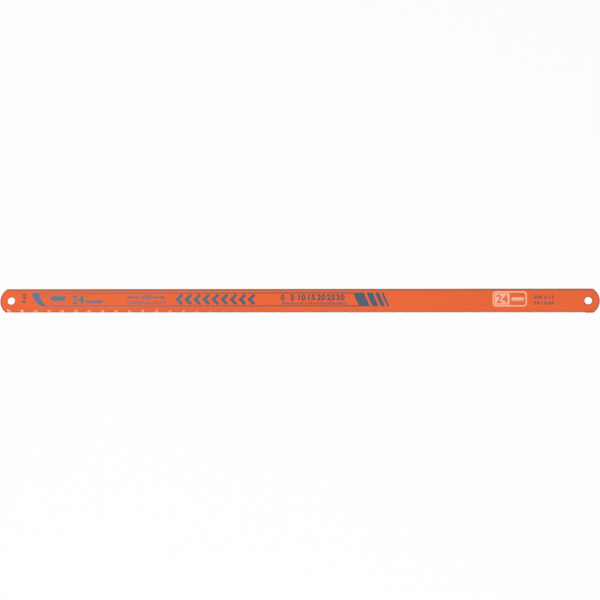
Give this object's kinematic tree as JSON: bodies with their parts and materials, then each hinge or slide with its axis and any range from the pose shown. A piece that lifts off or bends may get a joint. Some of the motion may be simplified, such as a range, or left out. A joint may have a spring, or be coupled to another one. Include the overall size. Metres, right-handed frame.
{
  "type": "hacksaw blade",
  "caption": "Long thin steel strip with a pin hole at each round end and fine, wave-set saw teeth along one edge; cuts metal when stretched in a hand hacksaw frame.",
  "frame": {"origin": "midway between the pin holes, on the middle plane of the strip", "axes": "+X along the blade towards its rear end, so the teeth point to -X; +Y from the teeth towards the back edge; +Z through the thickness, towards the printed face"},
  "size_m": [0.3116, 0.0126, 0.001],
  "materials": {
    "orange_paint": "glossy orange paint over hardened steel, thinner and darker along the edges",
    "dark_ink": "thin blue-grey print, a little worn",
    "white_ink": "thin white print, a little worn"
  },
  "bodies": {
    "root": {"blade": "orange_paint"}
  },
  "joints": []
}
